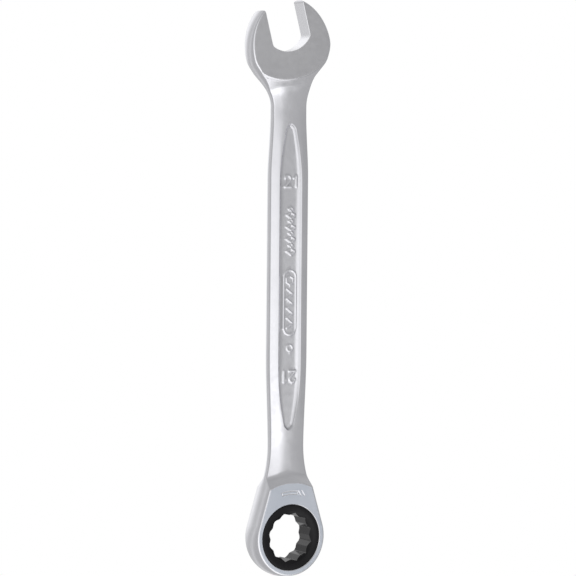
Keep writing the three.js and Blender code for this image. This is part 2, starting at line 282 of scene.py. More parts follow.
def mark_sharp(mesh, limit):
    """Smooth shading, with an edge kept sharp where its two faces turn by more than limit."""
    mesh.shade_smooth()
    count = len(mesh.polygons)
    normals = np.empty(count * 3)
    mesh.polygons.foreach_get("normal", normals)
    normals = normals.reshape(-1, 3)
    totals = np.empty(count, np.int32)
    mesh.polygons.foreach_get("loop_total", totals)
    edges = np.empty(len(mesh.loops), np.int32)
    mesh.loops.foreach_get("edge_index", edges)
    face = np.repeat(np.arange(count), totals)
    order = np.argsort(edges, kind="stable")
    edges, face = edges[order], face[order]
    paired = edges[:-1] == edges[1:]
    turn = (normals[face[:-1][paired]] * normals[face[1:][paired]]).sum(1)
    sharp = np.zeros(len(mesh.edges), bool)
    sharp[edges[:-1][paired]] = turn < math.cos(limit)
    attribute = mesh.attributes.new("sharp_edge", "BOOLEAN", "EDGE")
    attribute.data.foreach_set("value", sharp)


# ---------------------------------------------------------------- the wrench's plan

def half_width(y):
    """Half-width of the flanks, the necks and the belly between them."""
    fillet_x = NECK_WIDTH + FLANK_FILLET
    fillet_y = (HEAD_RADIUS + FLANK_FILLET - fillet_x * math.cos(TURN)) / math.sin(TURN)
    flank = (HEAD_RADIUS - y * math.sin(TURN)) / math.cos(TURN)
    fillet = fillet_x - np.sqrt(np.maximum(FLANK_FILLET ** 2 - (y - fillet_y) ** 2, 0))
    belly = smoothstep(np.minimum((y - BELLY_START) / BELLY_RISES[0], (BELLY_END - y) / BELLY_RISES[1]))
    width = np.where(y < fillet_y, fillet, NECK_WIDTH + BELLY_WIDTH * belly)
    return np.where(y < fillet_y - FLANK_FILLET * math.sin(TURN), flank, width)


def flared(y, flare):
    """Half-width of one side, with its flare out to the jaw."""
    added = np.zeros_like(y)
    for radius, start, curved, straight in flare:
        along = np.clip(y - start, 0, curved)
        slope = curved / math.sqrt(radius ** 2 - curved ** 2)
        beyond = np.clip(y - start - curved, 0, straight) * slope
        added = np.maximum(added, radius - np.sqrt(radius ** 2 - along ** 2) + beyond)
    return half_width(y) + added


def jaw_axes(points):
    """Points in the jaw's own axes: across it and along it."""
    x, y = (points - JAW_CENTRE).T
    c, s = math.cos(JAW_TURN), math.sin(JAW_TURN)
    return x * c + y * s, y * c - x * s


def from_jaw(outline):
    """An outline drawn in the jaw's own axes, in the plan."""
    across, along = np.asarray(outline, float).T
    c, s = math.cos(JAW_TURN), math.sin(JAW_TURN)
    return np.column_stack((across * c - along * s, across * s + along * c)) + JAW_CENTRE


def jaw_inside(points):
    """About how far in a point is from the jaw's oval outline."""
    across, along = jaw_axes(points)
    a, b = across - JAW_SHIFT, along - JAW_MIDDLE
    length = np.where(b > 0, JAW_AHEAD, JAW_BEHIND)
    level = np.maximum(np.hypot(a / JAW_ACROSS, b / length), 1e-6)
    steep = np.hypot(a / JAW_ACROSS ** 2, b / length ** 2) / level
    return (1 - level) / np.maximum(steep, 1e-3)


def foot_inside(points):
    """How far in a point is from the arc that ends the jaw's raised face."""
    across, along = jaw_axes(points)
    return FOOT_RADIUS - np.hypot(across, along - FOOT_ALONG - FOOT_RADIUS)


def raised_face_inside(points):
    """How far in a point is from the edge of the jaw's raised face."""
    return soft_min(foot_inside(points), jaw_inside(points), RAISED_CORNER)


def plan_inside(points):
    """Positive inside the handle or the jaw, with a fillet where the two meet."""
    x, y = points.T
    side = np.where(x < 0, flared(y, LEFT_FLARE), flared(y, RIGHT_FLARE))
    handle = np.minimum(side - np.abs(x), HANDLE_END - y)
    return soft_max(handle, jaw_inside(points), JAW_FILLET)


def reach(origin, direction, field, far):
    """Where rays leave a field's positive region, by bisection."""
    low, high = np.zeros(len(origin)), np.full(len(origin), far)
    for _ in range(40):
        middle = (low + high) / 2
        inside = field(origin + direction * middle[:, None]) > 0
        low, high = np.where(inside, middle, low), np.where(inside, high, middle)
    return origin + direction * low[:, None]


def wrench_outline():
    """The whole plan outline, anticlockwise from the ring's left flank."""
    turn = math.degrees(TURN)
    ring = arc(0, 0, HEAD_RADIUS, 180 - turn, 360 + turn, 150)
    y = np.arange(HEAD_RADIUS * math.sin(TURN) + 0.6, 226.0, 0.6)
    origin = np.column_stack((np.zeros_like(y), y))
    right = reach(origin, np.tile((1.0, 0.0), (len(y), 1)), plan_inside, 35.0)
    left = reach(origin, np.tile((-1.0, 0.0), (len(y), 1)), plan_inside, 35.0)
    start = math.atan2(*(right[-1] - JAW_CENTRE)[::-1])
    end = math.atan2(*(left[-1] - JAW_CENTRE)[::-1]) + 2 * math.pi
    t = np.linspace(start, end, 220)[1:-1]
    head = reach(np.tile(JAW_CENTRE, (len(t), 1)), np.column_stack((np.cos(t), np.sin(t))),
                 plan_inside, 35.0)
    return resampled(np.vstack((ring, right, head, left[::-1])), 0.6)


def panel_outline():
    """The lens-shaped recess, with blunt tips, anticlockwise."""
    u = (1 - np.cos(np.linspace(0, math.pi, 600))) / 2
    y = PANEL_START + (PANEL_END - PANEL_START) * u
    from_tip = np.minimum(y - PANEL_START, PANEL_END - y)
    taper = np.sin(np.clip(from_tip / PANEL_TAPER, 0, 1) * math.pi / 2)
    blunt = np.sqrt(np.clip(from_tip / PANEL_TIP, 0, 1))
    x = blunt * (PANEL_TIP + (PANEL_HALF - PANEL_TIP) * taper)
    right = np.column_stack((x, y))
    left = np.column_stack((-x, y))[::-1]
    return resampled(np.vstack((right, left[1:-1])), 0.7)


OUTLINE = Outline(wrench_outline())
PANEL = Outline(panel_outline())


# ---------------------------------------------------------------- raised and engraved marks

def digits_21(x, y, height, turned_over=False):
    """The strokes of the size number, centred on a point."""
    two = np.vstack((arc(0.30, 0.72, 0.28, 170, -38, 14), [(0.0, 0.0), (0.62, 0.0)]))
    one = np.array([(0.92, 0.78), (1.17, 1.0), (1.17, 0.0)])
    strokes = [(s - (0.6, 0.5)) * height for s in (two, one)]
    sign = -1 if turned_over else 1
    return [s * sign + (x, y) for s in strokes]


def stadium(x, y, half, length):
    """A closed pill-shaped line, upright."""
    straight = length / 2 - half
    loop = np.vstack((arc(x, y + straight, half, 0, 180, 20), arc(x, y - straight, half, 180, 360, 20)))
    return [np.vstack((loop, loop[:1]))]


def size_marks():
    return digits_21(0.7, 172.5, 5.4) + digits_21(0.8, 77.9, 5.4, turned_over=True)


def diamond(x, y, half_x, half_y):
    corners = [(half_x, 0), (0, half_y), (-half_x, 0), (0, -half_y), (half_x, 0)]
    return np.array(corners) + (x, y)


def diamond_marks():
    """A plain row of diamonds, every second one small."""
    return [diamond(0.9, y, *size)
            for size, y in zip(((2.2, 1.45), (1.1, 0.9)) * 4, np.linspace(138.6, 159.0, 8))]


def badge_marks():
    """A pill outline that holds a hexagon and a zigzag line."""
    hexagon = [arc(0.6, 124.6, 2.0, 30, 390, 6)]
    turns = np.linspace(101.6, 120.4, 9)
    zigzag = [np.column_stack((0.6 + 1.5 * np.array((-1, 1) * 5)[:9], turns))]
    return stadium(0.6, 113.9, 3.3, 31.2) + hexagon + zigzag


def ring_mark():
    return [arc(0.8, 91.8, 1.5, 0, 360, 20)]


def arrow_marks():
    """A curved band on the ring's pad, the shaft of an arrow for the turning direction."""
    inner, outer = arc(0, 0, 21.2, 82, 104, 12), arc(0, 0, 22.6, 104, 82, 12)
    return [np.vstack((inner, outer, inner[:1]))]


def arrow_strokes():
    """Two slanted strokes at the band's end."""
    return [np.array([(x, 22.5), (x + 1.5, 20.3)]) for x in (3.6, 5.6)]


RAISED = {"height": 0.42, "top": 0.22, "foot": 0.78}
FINE_RAISED = {"height": 0.32, "top": 0.14, "foot": 0.58}
ENGRAVED = {"height": -0.12, "top": 0.05, "foot": 0.25}
BOLD_ENGRAVED = {"height": -0.3, "top": 0.1, "foot": 0.42}

FRONT_MARKS = [(size_marks(), RAISED), (diamond_marks(), RAISED), (badge_marks(), FINE_RAISED),
               (ring_mark(), FINE_RAISED), (arrow_marks(), ENGRAVED),
               (arrow_strokes(), BOLD_ENGRAVED)]
BACK_MARKS = [(size_marks(), RAISED)]


# ---------------------------------------------------------------- the forged body

def face_height(points, marks):
    """Height of a face above the mid-plane, at points of the plan."""
    x, y = points.T
    inside = OUTLINE.inside(points)
    from_end = np.minimum(y - PANEL_START, PANEL_END - y)
    rounding = 0.3 + 1.9 * smoothstep((14 - from_end) / 22)
    to_jaw = smoothstep((y - THICKEN_START) / (THICKEN_END - THICKEN_START))
    edge = EDGE_HALF + EDGE_THICKER * to_jaw
    in_neck = smoothstep((y - 200) / 9) * smoothstep((219 - y) / 6)
    slope = FACE_SLOPE * (1 - NECK_SOFTER * in_neck)
    handle = soft_min(CROWN_HALF, edge + slope * soft_min(inside, FLANK_RUN, 2.4), rounding)
    wall = PANEL_WALL * (0.5 + 0.5 * smoothstep(from_end / 40))
    recess_in = np.clip(PANEL.inside(points) / wall, -1, 1)
    fall = np.sign(recess_in) * (1 - (1 - np.abs(recess_in)) ** PANEL_CURVE)
    recess = CROWN_HALF - PANEL_DEPTH * fall
    handle = soft_min(handle, recess, 0.22)
    fall = RAMP_SLOPE + RAMP_STEEPER * smoothstep(np.abs(x) / NECK_WIDTH)
    ring = soft_min(HEAD_HALF, HEAD_HALF - fall * (np.hypot(x, y) - PAD_RADIUS), 0.35)
    neck = NECK_RAMP_TOP + NECK_RAMP_SLOPE * (foot_inside(points) + NECK_RAMP_LEDGE)
    neck = soft_min(NECK_RAMP_TOP, neck, 0.2)
    jaw = soft_min(JAW_HALF, JAW_HALF + FOOT_SLOPE * (raised_face_inside(points) + 0.15), 0.3)
    height = soft_max(soft_max(soft_max(handle, neck, 0.12), ring, 1.5), jaw, 0.15)
    for lines, shape in marks:
        reach_out = shape["foot"]
        every = np.vstack(lines)
        near = ((points > every.min(0) - reach_out) & (points < every.max(0) + reach_out)).all(1)
        away = line_distance(points[near], lines)
        share = 1 - smoothstep((away - shape["top"]) / (shape["foot"] - shape["top"]))
        height[near] += shape["height"] * share
    return height


def rows_along(field_value, centre, levels, angles):
    """Points on contour lines of a field round a centre, one row for each level."""
    t = np.radians(angles)
    direction = np.column_stack((np.cos(t), np.sin(t)))
    origin = np.tile(centre, (len(t), 1))
    return np.vstack([reach(origin, direction, lambda p, v=level: field_value(p) - v, 45.0)
                      for level in levels])


def grid_over(low, high, spacing):
    """Points of a square grid over a box of the plan."""
    x, y = np.meshgrid(np.arange(low[0], high[0], spacing), np.arange(low[1], high[1], spacing))
    return np.column_stack((x.ravel(), y.ravel()))


def shape_points(edge, spacing, near_edge, near_foot, near_ramp, near_tip):
    """Grid points in bands along the edge, the jaw's foot, the ring's ramp and the recess's tips;
    the two-number bands reach downhill and uphill from their line, or inwards and outwards."""
    grid = grid_over(edge.min(0), edge.max(0), spacing)
    y = grid[:, 1]
    inside, foot = OUTLINE.inside(grid), raised_face_inside(grid)
    from_pad = np.hypot(*grid.T) - PAD_RADIUS
    at_edge = inside < near_edge
    at_foot = (foot > -near_foot[0]) & (foot < near_foot[1]) & (y > JAW_START)
    at_ramp = (from_pad > -near_ramp[0]) & (from_pad < near_ramp[1]) & (y > 0)
    at_tip = np.minimum(np.abs(y - PANEL_START), np.abs(y - PANEL_END)) < near_tip
    return grid[(inside > 0) & (at_edge | at_foot | at_ramp | at_tip)]


def mark_points(lines, reach_out, spacing):
    """Grid points along a mark's lines."""
    every = np.vstack(lines)
    grid = grid_over(every.min(0) - reach_out, every.max(0) + reach_out, spacing)
    return grid[line_distance(grid, lines) < reach_out]


def sheet_points(edge, marks):
    """Points inside the sheet's edge: close together where the face bends, wide apart elsewhere."""
    ring_rows = np.vstack([arc(0, 0, PAD_RADIUS + step, 40, 140, 130)
                           for step in (-0.45, -0.15, 0.15, 0.45, 1.2, 2.2, 3.2, 3.8, 4.5, 5.3)])
    foot_rows = rows_along(raised_face_inside, JAW_CENTRE, (0.3, 0.1, -0.1, -0.3, -0.6, -0.9, -1.3),
                           np.arange(180, 362, 0.8))
    coarse = grid_over(edge.min(0), edge.max(0), SPACING)
    middle = shape_points(edge, SPACING / 2, near_edge=5.5, near_foot=(6.0, 1.5),
                          near_ramp=(1.5, 12.0), near_tip=6.0)
    close = shape_points(edge, SPACING / 4, near_edge=0.0, near_foot=(3.0, 0.6),
                         near_ramp=(0.75, 6.0), near_tip=3.0)
    shaped = np.vstack((ring_rows, foot_rows, coarse, middle, close))
    shaped = shaped[(PANEL.inside(shaped) <= -0.45) | (PANEL.inside(shaped) >= PANEL_WALL + 0.1)]
    finest = [(lines, shape["foot"] + 0.15, SPACING / 8) for lines, shape in marks]
    finest += [(lines, shape["foot"] + 0.15, SPACING / 16) for lines, shape in marks
               if shape["foot"] < 0.5]
    points = np.vstack([shaped] + [mark_points(*mark) for mark in finest])
    return points[Outline(edge).inside(points) > 0.25]


def panel_rows():
    """Lines along the recess's wall, from just outside it to its foot."""
    return [PANEL.loop + PANEL.normals * step
            for step in (-0.3, -0.1, 0.1, 0.3, 0.65, 1.1, 1.6, 2.2, PANEL_WALL)]


def sheet(edge, marks):
    """One face of the body as (points, heights, triangles), its edge's points first."""
    loops = [edge] + panel_rows()
    free = sheet_points(edge, marks)
    flat = np.vstack(loops + [free])
    edges, start = [], 0
    for loop in loops:
        n = len(loop)
        edges.extend((start + k, start + (k + 1) % n) for k in range(n))
        start += n
    made, _, faces, source, _, _ = delaunay_2d_cdt([Vector(p) for p in flat], edges, [], 1, 1e-5)
    made = np.array([v[:] for v in made], float)[:, :2]
    faces = np.array([f for f in faces if len(f) == 3])
    order = np.full(len(made), -1)
    first = [next((s for s in group if s < len(edge)), -1) for group in source]
    count = len(edge)
    for index, boundary in enumerate(first):
        if boundary >= 0:
            order[index] = boundary
        else:
            order[index] = count
            count += 1
    points = np.empty_like(made)
    points[order] = made
    points[:len(edge)] = edge
    return points, face_height(points, marks), order[faces]


def side_section(top, start, radius):
    """How far in a side wall's top edge lies, and the wall's height below its corner."""
    height = top - radius * (np.cos(start) - math.sin(SIDE_CROWN))
    inset = radius * (math.cos(SIDE_CROWN) - np.sin(start)) + height * math.tan(SIDE_CROWN / 2)
    return inset[:, None], height


def side_rows(top, start, radius, height, inset):
    """(inset, z) rows down a side wall: a rounded corner, a crowned side and a lower corner."""
    side_radius = height / math.sin(SIDE_CROWN)
    rows = []
    for share in np.linspace(0, 1, 6):
        angle = start + (math.pi / 2 - SIDE_CROWN - start) * share
        rows.append((inset[:, 0] - radius * (np.sin(angle) - np.sin(start)),
                     top - radius * (np.cos(start) - np.cos(angle))))
    for angle in np.linspace(math.pi / 2 - SIDE_CROWN, math.pi / 2, 5)[1:]:
        rows.append((side_radius * (1 - math.sin(angle)), side_radius * math.cos(angle)))
    return rows + [(gap, -z) for gap, z in rows[-2::-1]]


def forged_body():
    """Two face sheets joined by a crowned side wall with rounded corners."""
    outline, inward = OUTLINE.loop, OUTLINE.normals
    rise = (face_height(outline + inward * 1.4, []) - face_height(outline + inward * 0.9, [])) / 0.5
    rise = np.convolve(np.r_[rise[-2:], rise, rise[:2]], np.ones(5) / 5, "valid")
    start = np.arctan(np.clip(rise, 0, 0.8))
    y = outline[:, 1]
    crisp = smoothstep((y - 209) / 6) * smoothstep((226 - y) / 5)
    edge = outline + inward
    radius = np.minimum(EDGE_ROUND, face_height(edge, []) * 0.35) * (1 - EDGE_CRISPER * crisp)
    for _ in range(2):
        inset, _ = side_section(face_height(edge, []), start, radius)
        edge = outline + inward * inset
    front, front_z, front_faces = sheet(edge, FRONT_MARKS)
    back, back_z, back_faces = sheet(edge, [([line * (-1, 1) for line in lines], shape)
                                            for lines, shape in BACK_MARKS])
    size = len(edge)
    top = front_z[:size]
    back_z[:size] = top
    _, height = side_section(top, start, radius)
    rows = side_rows(top, start, radius, height, inset)
    wall = [np.column_stack((outline + inward * gap[:, None], z)) for gap, z in rows[1:-1]]
    points = np.vstack([np.column_stack((front, front_z)), np.column_stack((back, -back_z)), *wall])
    starts = [0] + [len(front) + len(back) + size * k for k in range(len(wall))] + [len(front)]
    faces = [tuple(f) for f in front_faces]
    faces += [tuple(f[::-1]) for f in back_faces + len(front)]
    ring = np.arange(size)
    after = np.roll(ring, -1)
    for a, b in zip(starts[:-1], starts[1:]):
        faces += list(zip(a + ring, b + ring, b + after, a + after))
    return solid("forging", points, faces)


def mouth_cutter():
    """Two parallel flats and a rounded throat, chamfered at the faces and opening at the tips."""
    half = JAW_GAP / 2
    corner_x = half - THROAT_CORNER
    centre = THROAT_ALONG + THROAT_RADIUS
    corner_y = centre - math.sqrt((THROAT_RADIUS - THROAT_CORNER) ** 2 - corner_x ** 2)
    meet = math.degrees(math.atan2(corner_y - centre, corner_x))
    tip_y = 21.2
    right = np.vstack((arc(0, centre, THROAT_RADIUS, -90, meet, 16),
                       arc(corner_x, corner_y, THROAT_CORNER, meet, 0, 12)[1:],
                       arc(half + TIP_ROUND, tip_y, TIP_ROUND, 180, 95, 10),
                       [(half + TIP_ROUND + 6, tip_y + TIP_ROUND + 0.4), (half + 8, 42)]))
    left = (right * (-1, 1))[::-1][:-1]
    outline = from_jaw(np.vstack((right, left)))
    chamfer = 0.18
    return prism("mouth", outline, [(-JAW_HALF - 1, chamfer + 1), (-JAW_HALF + chamfer, 0),
                                    (JAW_HALF - chamfer, 0), (JAW_HALF + 1, chamfer + 1)])


def bore_cutter():
    chamfer = 0.3
    return turned("bore", [
        (0, -HEAD_HALF - 1), (BORE_RADIUS + 1 + chamfer, -HEAD_HALF - 1),
        (BORE_RADIUS, -HEAD_HALF + chamfer), (BORE_RADIUS, GROOVE_LOW), (GROOVE_RADIUS, GROOVE_LOW),
        (GROOVE_RADIUS, GROOVE_HIGH), (BORE_RADIUS, GROOVE_HIGH), (BORE_RADIUS, LIP_BOTTOM),
        (LIP_RADIUS, LIP_BOTTOM), (LIP_RADIUS, HEAD_HALF - chamfer),
        (LIP_RADIUS + 1 + chamfer, HEAD_HALF + 1), (0, HEAD_HALF + 1)], sides=240)


def pocket_cutters():
    corner = 1.5
    outline = np.vstack(([(-POCKET_HALF, 8), (POCKET_HALF, 8)],
                         arc(POCKET_HALF - corner, POCKET_END - corner, corner, 0, 90, 6),
                         arc(corner - POCKET_HALF, POCKET_END - corner, corner, 90, 180, 6)))
    pocket = prism("pocket", outline, [(POCKET_LOW, 0), (POCKET_HIGH, 0)])
    circle = arc(0, SPRING_Z, SPRING_HOLE, 0, 360, 32)[:-1]
    hole = lofted("spring_hole", [np.column_stack((circle[:, 0], np.full(32, y), circle[:, 1]))
                                  for y in (SPRING_HOLE_END, POCKET_END - 1)])
    return pocket, hole


# ---------------------------------------------------------------- the ratchet's pieces

TOOTH_COUNT, TOOTH_TIP, TOOTH_ROOT = 72, 16.55, 15.75
TEETH_LOW, TEETH_HIGH = -3.65, 4.2
FRONT_COLLAR, FRONT_TOP = 15.9, 6.1
BACK_COLLAR, BACK_BOTTOM = 15.3, -6.1
SOCKET_TURN, SOCKET_LEAD = 2.3, 1.1
SOCKET_CORNER = NUT / 2 / math.cos(math.radians(30))
SOCKET_VALLEY = NUT / 2 / math.cos(math.radians(15))
CLIP_INNER, CLIP_OUTER, CLIP_LOW, CLIP_HIGH, CLIP_OPENING = 15.55, 17.45, -4.65, -3.85, 24
SPRING_RADIUS, SPRING_WIRE, SPRING_TURNS = 1.22, 0.4, 6
SPRING_START, SPRING_END = 24.25, 29.1


def rounded(outline, radii, steps=5):
    """The same outline with each corner replaced by an arc of its own radius."""
    made = []
    for i, corner in enumerate(outline):
        back = outline[i - 1] - corner
        ahead = outline[(i + 1) % len(outline)] - corner
        back, ahead = back / np.linalg.norm(back), ahead / np.linalg.norm(ahead)
        half = math.acos(np.clip(back @ ahead, -1, 1)) / 2
        radius = radii[i % len(radii)]
        bisector = (back + ahead) / np.linalg.norm(back + ahead)
        centre = corner + bisector * radius / math.sin(half)
        first, last = corner + back * radius / math.tan(half), corner + ahead * radius / math.tan(half)
        for t in np.linspace(0, 1, steps + 1):
            spoke = first + (last - first) * t - centre
            made.append(centre + spoke / np.linalg.norm(spoke) * radius)
    return np.array(made)


def polar(radii, angles):
    t = np.radians(angles)
    return np.column_stack((np.asarray(radii) * np.cos(t), np.asarray(radii) * np.sin(t)))


def quarter(radius, z, round_radius, start, end, steps=6):
    """(radius, z) points of a rounded rim, round a centre in the profile."""
    return [tuple(p) for p in arc(radius, z, round_radius, start, end, steps)]


def ratchet_gear():
    """The toothed ring with a collar at each face and a twelve-point socket through it."""
    rim = 0.35
    root = TOOTH_ROOT - 0.1
    gear = turned("gear", [
        (0, BACK_BOTTOM), *quarter(BACK_COLLAR - rim, BACK_BOTTOM + rim, rim, -90, 0),
        (BACK_COLLAR, TEETH_LOW + 0.5), (root, TEETH_LOW + 0.5), (root, TEETH_HIGH - 0.5),
        (FRONT_COLLAR, TEETH_HIGH - 0.5), *quarter(FRONT_COLLAR - rim, FRONT_TOP - rim, rim, 0, 90),
        (0, FRONT_TOP)], sides=288)
    pitch = 180 / TOOTH_COUNT
    teeth = polar([TOOTH_TIP, TOOTH_ROOT] * TOOTH_COUNT, np.arange(2 * TOOTH_COUNT) * pitch)
    small = 0.2
    combine(gear, prism("teeth", rounded(teeth, (0.08, 0.08), 2),
                        [(TEETH_LOW, -small), (TEETH_LOW + small, 0),
                         (TEETH_HIGH - small, 0), (TEETH_HIGH, -small)]), "UNION")
    corners = polar([SOCKET_CORNER, SOCKET_VALLEY] * 12, 15.0 * np.arange(1, 25) + SOCKET_TURN)
    combine(gear, prism("socket", rounded(corners, (0.55, 0.9), 6),
                        [(BACK_BOTTOM - 1, 0), (FRONT_TOP + 1, 0)]), "DIFFERENCE")
    wide = SOCKET_CORNER + 0.5
    for face in (-1, 1):
        z = FRONT_TOP * face
        cone = [(0, z - SOCKET_LEAD * face), (wide - SOCKET_LEAD, z - SOCKET_LEAD * face),
                (wide - 0.12, z - 0.12 * face), (wide + 0.12, z), (wide + 0.4, z + face), (0, z + face)]
        combine(gear, turned("lead_in", cone, sides=288), "DIFFERENCE")
    return gear


def retaining_clip():
    """A flat open ring with rounded edges, sprung into the groove."""
    corner = 0.16
    width, height = CLIP_OUTER - CLIP_INNER, CLIP_HIGH - CLIP_LOW
    box = np.array([(0, 0), (width, 0), (width, height), (0, height)])
    section = rounded(box, (corner,), 3) + (CLIP_INNER, CLIP_LOW)
    middle = section.mean(0)
    half = CLIP_OPENING / 2
    sections = []
    end_round = 0.5
    for angle in np.linspace(half - 90, 270 - half, 200):
        from_end = min(angle - half + 90, 270 - half - angle) * math.radians(1) * CLIP_OUTER
        share = 1 - 0.55 * (1 - math.sqrt(1 - (1 - min(from_end / end_round, 1)) ** 2))
        ring = middle + (section - middle) * share
        t = math.radians(angle)
        sections.append([(r * math.cos(t), r * math.sin(t), z) for r, z in ring])
    return lofted("clip", np.array(sections))


def pawl_spring():
    """A coil whose end turns lie closed, with flat round wire ends."""
    sides, per_turn = 14, 36
    steps = SPRING_TURNS * per_turn
    sections = []
    low, high = SPRING_START + SPRING_WIRE / 2, SPRING_END - SPRING_WIRE / 2
    turns = np.linspace(0, SPRING_TURNS, steps + 1)
    closed = SPRING_WIRE * 1.04
    rise = closed + (((high - low) - 2 * closed) / (SPRING_TURNS - 2) - closed) * (
        smoothstep(turns - 0.5) * smoothstep(SPRING_TURNS - 0.5 - turns))
    climb = np.concatenate(([0], np.cumsum((rise[1:] + rise[:-1]) / 2 * np.diff(turns))))
    along = low + climb * (high - low) / climb[-1]
    for turn, y in zip(turns, along):
        t = 2 * math.pi * turn
        out = np.array((math.cos(t), 0, math.sin(t)))
        ring = [(0, y, SPRING_Z) + out * (SPRING_RADIUS + SPRING_WIRE / 2 * math.cos(a))
                + np.array((0, 1, 0)) * SPRING_WIRE / 2 * math.sin(a)
                for a in np.linspace(0, 2 * math.pi, sides, endpoint=False)]
        sections.append(ring)
    return lofted("spring", np.array(sections))


# ---------------------------------------------------------------- materials

def nodes_for(name):
    material = bpy.data.materials.new(name)
    material.use_nodes = True
    nodes, links = material.node_tree.nodes, material.node_tree.links
    place = nodes.new("ShaderNodeTexCoord").outputs["Object"]
    return material, nodes, links, nodes["Principled BSDF"], place


def noise(nodes, links, place, scale, detail=3.0, stretch=None):
    """A noise value; scale is in waves per metre, and stretch changes it along each axis."""
    if stretch:
        mapping = nodes.new("ShaderNodeMapping")
        mapping.inputs["Scale"].default_value = stretch
        links.new(place, mapping.inputs["Vector"])
        place = mapping.outputs["Vector"]
    made = nodes.new("ShaderNodeTexNoise")
    made.inputs["Scale"].default_value = scale
    made.inputs["Detail"].default_value = detail
    links.new(place, made.inputs["Vector"])
    return made.outputs["Fac"]


def spread(nodes, links, value, low, high, start=0.3, end=0.7):
    made = nodes.new("ShaderNodeMapRange")
    made.inputs["From Min"].default_value = start
    made.inputs["From Max"].default_value = end
    made.inputs["To Min"].default_value = low
    made.inputs["To Max"].default_value = high
    links.new(value, made.inputs["Value"])
    return made.outputs["Result"]


def between(nodes, links, value, dark, light):
    made = nodes.new("ShaderNodeMix")
    made.data_type = "RGBA"
    links.new(value, made.inputs[0])
    made.inputs[6].default_value = (*dark, 1)
    made.inputs[7].default_value = (*light, 1)
    return made.outputs[2]


def mixed(nodes, links, factor, under, over, blend="MIX"):
    made = nodes.new("ShaderNodeMix")
    made.data_type = "RGBA"
    made.blend_type = blend
    if factor is None:
        made.inputs[0].default_value = 1
    else:
        links.new(factor, made.inputs[0])
    links.new(under, made.inputs[6])
    links.new(over, made.inputs[7])
    return made.outputs[2]


def bumped(nodes, links, height, strength, distance, under=None):
    made = nodes.new("ShaderNodeBump")
    made.inputs["Strength"].default_value = strength
    made.inputs["Distance"].default_value = distance
    links.new(height, made.inputs["Height"])
    if under:
        links.new(under, made.inputs["Normal"])
    return made.outputs["Normal"]


def steel(name, dark, light, roughness, grain, grain_strength, stretch=None, metallic=1.0,
          specular=0.5, painted_hollow_shade=None):
    """A metal with a fine grain, soft blotches in its colour and an uneven polish; it can also take a
    painted shade, given as how bright its colour stays in sharp inner corners."""
    material, nodes, links, shader, place = nodes_for(name)
    shader.inputs["Metallic"].default_value = metallic
    shader.inputs["Specular IOR Level"].default_value = specular
    broad = noise(nodes, links, place, 55, 4.0)
    fine = noise(nodes, links, place, grain, 2.0, stretch)
    colour = between(nodes, links, spread(nodes, links, broad, 0, 1), dark, light)
    # Painted shade: the colour is darkened where the surface turns inward, in creases and sharp inner
    # corners.
    if painted_hollow_shade:
        bend = nodes.new("ShaderNodeNewGeometry").outputs["Pointiness"]
        shade = between(nodes, links, spread(nodes, links, bend, 0, 1, 0.40, 0.495),
                        (painted_hollow_shade,) * 3, (1, 1, 1))
        colour = mixed(nodes, links, None, colour, shade, "MULTIPLY")
    links.new(colour, shader.inputs["Base Color"])
    uneven = noise(nodes, links, place, 385, 3.0)
    links.new(spread(nodes, links, uneven, roughness - 0.05, roughness + 0.05),
              shader.inputs["Roughness"])
    soft = bumped(nodes, links, noise(nodes, links, place, 420, 2.0), 0.05, 0.00004)
    links.new(bumped(nodes, links, fine, grain_strength, 0.00004, soft), shader.inputs["Normal"])
    return material


# The satin chrome's colour is darkened to 0.45 in sharp inner corners, a painted shade.
satin_chrome = steel("satin_chrome", (0.745, 0.745, 0.78), (0.795, 0.795, 0.83), 0.22, 2600, 0.07,
                     painted_hollow_shade=0.45)
blasted_chrome = steel("blasted_chrome", (0.58, 0.62, 0.69), (0.65, 0.68, 0.745), 0.36, 2400, 0.3)
ground_steel = steel("ground_steel", (0.56, 0.56, 0.58), (0.61, 0.61, 0.63), 0.34, 1500, 0.10,
                     stretch=(1.0, 0.12, 1.0))
broached_steel = steel("broached_steel", (0.91, 0.91, 0.95), (0.96, 0.96, 0.99), 0.28, 1800, 0.015,
                       stretch=(1.0, 1.0, 0.1))
black_oxide = steel("black_oxide", (0.003, 0.003, 0.004), (0.006, 0.0055, 0.0075), 0.30, 2200, 0.15,
                    metallic=0.0, specular=0.24)
worn_oxide = steel("worn_oxide", (0.006, 0.0055, 0.008), (0.014, 0.013, 0.017), 0.17, 2000, 0.10,
                   metallic=0.0, stretch=(1.0, 1.0, 0.12))
hard_steel = steel("hard_steel", (0.40, 0.40, 0.415), (0.50, 0.50, 0.515), 0.34, 1800, 0.25,
                   stretch=(1.0, 1.0, 0.1))
spring_steel = steel("spring_steel", (0.26, 0.26, 0.28), (0.36, 0.36, 0.38), 0.28, 3000, 0.2)


# ---------------------------------------------------------------- the pieces in place

def choose_finishes(mesh):
    """Blasted pads on the ring, ground faces and cut walls on the jaw, satin elsewhere."""
    count = len(mesh.polygons)
    centres, normals = np.empty(count * 3), np.empty(count * 3)
    mesh.polygons.foreach_get("center", centres)
    mesh.polygons.foreach_get("normal", normals)
    centres, normals = centres.reshape(-1, 3), normals.reshape(-1, 3)
    flat = np.abs(normals[:, 2]) > 0.999
    height = np.abs(centres[:, 2])
    plan = centres[:, :2]
    inside = OUTLINE.inside(plan)
    pads = flat & (height > HEAD_HALF - 0.35)
    jaw = plan[:, 1] > JAW_START
    faces = flat & jaw & (height > JAW_HALF - 0.02)
    upright = (np.abs(normals[:, 2]) < 0.8) & (height < JAW_HALF)
    cut_walls = upright & jaw & (inside > 1.6) & (raised_face_inside(plan) > 0.5)
    chosen = np.zeros(count, np.int32)
    for slot, group in enumerate((pads, faces, cut_walls), 1):
        chosen[group] = slot
    mesh.polygons.foreach_set("material_index", chosen)


def choose_socket(mesh):
    """The socket's walls are worn shinier than the rest of the ratchet ring."""
    inner = SOCKET_CORNER + 0.3
    for face in mesh.polygons:
        if abs(face.normal.z) < 0.3 and math.hypot(*face.center[:2]) < inner:
            face.material_index = 1


